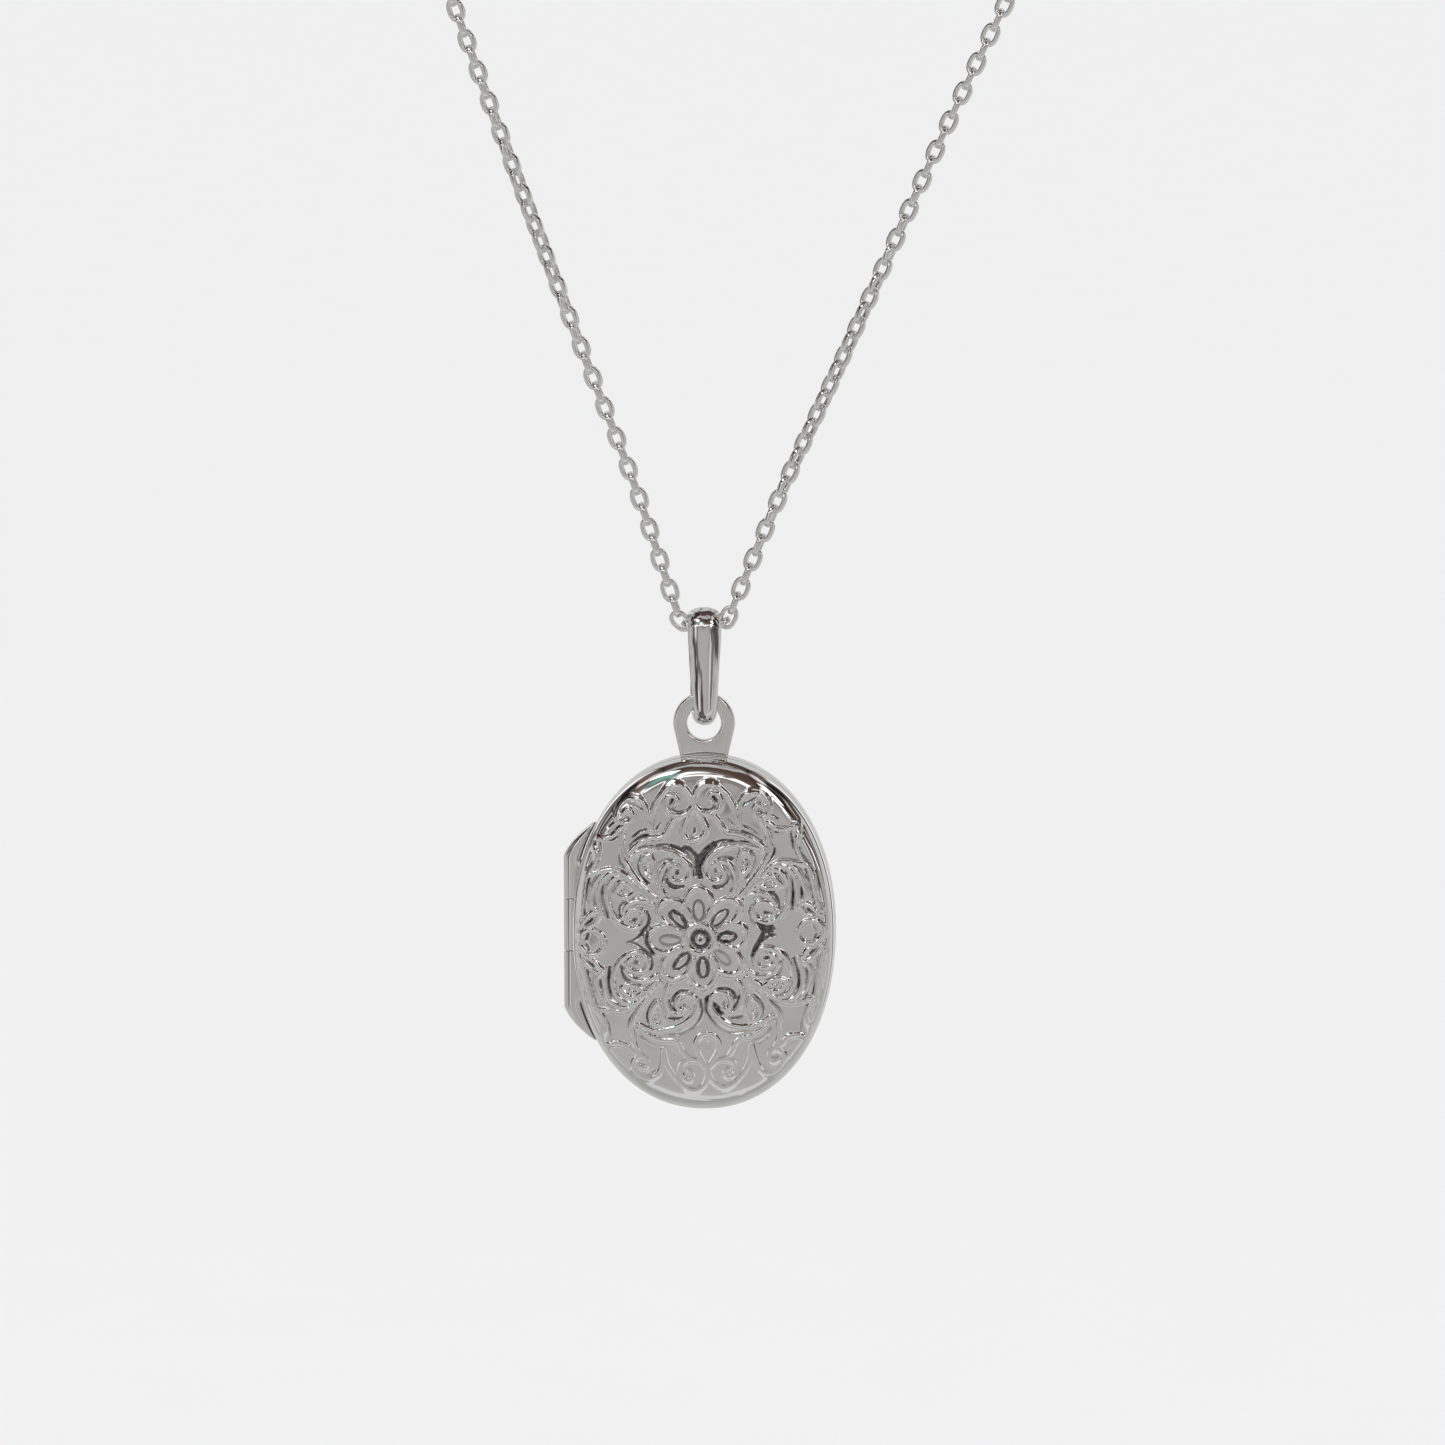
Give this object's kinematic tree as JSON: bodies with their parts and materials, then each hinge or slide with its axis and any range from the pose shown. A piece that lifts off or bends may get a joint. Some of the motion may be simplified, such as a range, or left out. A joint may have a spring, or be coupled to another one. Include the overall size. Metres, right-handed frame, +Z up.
{
  "type": "locket",
  "caption": "Oval hinged picture locket with an embossed scroll-and-flower front, a tapered bail and the two ends of a fine cable chain.",
  "frame": {"origin": "the point that the held chain ends are level with, straight above the locket's centre", "axes": "-Y is the embossed front, -X the hinge side, +Z up; the two shells meet in the plane y = 0"},
  "size_m": [0.0466, 0.0047, 0.0827],
  "materials": {
    "polished_silver": "polished",
    "chain_silver": "polished",
    "picture_card": "matte",
    "clear_window": "clear"
  },
  "bodies": {
    "chain": {"chain_links": "chain_silver", "chain_end_ring_left": "chain_silver", "chain_end_ring_right": "chain_silver", "clasp_eye": "chain_silver", "clasp_body": "chain_silver"},
    "clasp_bolt": {"clasp_bolt": "chain_silver"},
    "bail": {"bail": "polished_silver"},
    "case": {"back_shell": "polished_silver", "back_snap_rim": "polished_silver", "back_picture_frame": "polished_silver", "back_window": "clear_window", "back_picture": "picture_card", "hinge_knuckle_upper": "polished_silver", "hinge_knuckle_lower": "polished_silver", "hinge_pin": "polished_silver", "hanging_loop": "polished_silver"},
    "cover": {"front_shell": "polished_silver", "front_picture_frame": "polished_silver", "front_window": "clear_window", "front_picture": "picture_card", "hinge_knuckle_middle": "polished_silver"}
  },
  "joints": [
    {"name": "bail_swing", "type": "hinge", "parent": "chain", "child": "bail", "pos_m": [0, 0.00045, -0.04835], "axis": [1, 0, 0], "range_deg": [-50, 50]},
    {"name": "locket_swing", "type": "hinge", "parent": "bail", "child": "case", "pos_m": [0, 0.00045, -0.05448], "axis": [0, 1, 0], "range_deg": [-35, 35]},
    {"name": "cover_open", "type": "hinge", "parent": "case", "child": "cover", "pos_m": [-0.0085, 0, -0.0682], "axis": [0, 0, -1], "range_deg": [0, 165]},
    {"name": "clasp_bolt_draw", "type": "hinge", "parent": "chain", "child": "clasp_bolt", "pos_m": [-0.01898, 0.00045, 0.00011], "axis": [0, 1, 0], "range_deg": [0, 52], "stiffness_Nm_per_rad": 0.0006}
  ]
}
